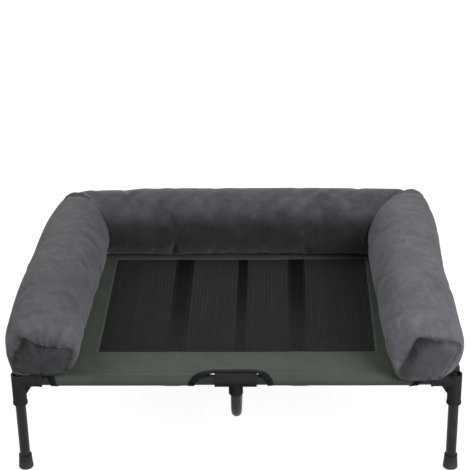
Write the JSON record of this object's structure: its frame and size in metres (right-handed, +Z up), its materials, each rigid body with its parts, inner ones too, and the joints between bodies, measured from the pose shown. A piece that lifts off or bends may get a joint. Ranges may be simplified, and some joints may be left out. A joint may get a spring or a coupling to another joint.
{
  "type": "raised dog cot",
  "caption": "Raised dog cot: tube frame in moulded corner sockets, stretched fabric deck with a mesh panel, and a lift-off stuffed bolster on three sides.",
  "frame": {"origin": "on the floor, under the middle of the rectangle of the four feet", "axes": "+X along the cot's length, +Y from the open front to the back bolster, +Z up"},
  "size_m": [1.07, 0.766, 0.4359],
  "materials": {
    "frame_tube": "dark grey powder coat, satin",
    "connector_moulding": "moulded, fine matte grain",
    "foot_rubber": "matte",
    "border_fabric": "plain-woven coated polyester, sage green",
    "deck_mesh": "open woven coated yarn, charcoal",
    "webbing": "flat woven webbing, black",
    "binding_tape": "ribbed binding tape, black",
    "patch_tape": "hook and loop tape, black",
    "bolster_velvet": "short-pile velvet, grey",
    "fibre_filling": "loose polyester fibre"
  },
  "bodies": {
    "frame": {"corner_connector_front_left": "connector_moulding", "corner_binding_front_left": "binding_tape", "corner_connector_front_right": "connector_moulding", "corner_binding_front_right": "binding_tape", "corner_connector_back_left": "connector_moulding", "corner_binding_back_left": "binding_tape", "corner_connector_back_right": "connector_moulding", "corner_binding_back_right": "binding_tape", "tee_connector_front": "connector_moulding", "arch_binding_front": "binding_tape", "tee_connector_back": "connector_moulding", "arch_binding_back": "binding_tape", "rail_front_left": "frame_tube", "rail_front_right": "frame_tube", "rail_back_left": "frame_tube", "rail_back_right": "frame_tube", "rail_side_left": "frame_tube", "rail_side_right": "frame_tube", "centre_brace": "frame_tube", "cover_front": "border_fabric", "cover_back": "border_fabric", "cover_left": "border_fabric", "cover_right": "border_fabric", "mesh_panel": "deck_mesh", "strap_left": "webbing", "strap_right": "webbing", "loop_patches_left": "patch_tape", "loop_patches_right": "patch_tape", "loop_patches_back": "patch_tape"},
    "bolster": {"hook_patches_left": "patch_tape", "bolster_cover_left": "bolster_velvet", "bolster_filling_left": "fibre_filling", "hook_patches_right": "patch_tape", "bolster_cover_right": "bolster_velvet", "bolster_filling_right": "fibre_filling", "hook_patches_back": "patch_tape", "bolster_cover_back": "bolster_velvet", "bolster_filling_back": "fibre_filling", "bolster_end_left": "bolster_velvet", "bolster_end_right": "bolster_velvet"},
    "leg_front_left": {"leg_front_left": "frame_tube", "foot_front_left": "foot_rubber"},
    "leg_front_right": {"leg_front_right": "frame_tube", "foot_front_right": "foot_rubber"},
    "leg_back_left": {"leg_back_left": "frame_tube", "foot_back_left": "foot_rubber"},
    "leg_back_right": {"leg_back_right": "frame_tube", "foot_back_right": "foot_rubber"}
  },
  "joints": [
    {"name": "bolster_lift", "type": "slide", "parent": "frame", "child": "bolster", "axis": [0, 0, 1], "range_m": [0, 0.2]},
    {"name": "leg_pull_front_left", "type": "slide", "parent": "frame", "child": "leg_front_left", "axis": [0, 0, -1], "range_m": [0, 0.05]},
    {"name": "leg_pull_front_right", "type": "slide", "parent": "frame", "child": "leg_front_right", "axis": [0, 0, -1], "range_m": [0, 0.05]},
    {"name": "leg_pull_back_left", "type": "slide", "parent": "frame", "child": "leg_back_left", "axis": [0, 0, -1], "range_m": [0, 0.05]},
    {"name": "leg_pull_back_right", "type": "slide", "parent": "frame", "child": "leg_back_right", "axis": [0, 0, -1], "range_m": [0, 0.05]}
  ]
}
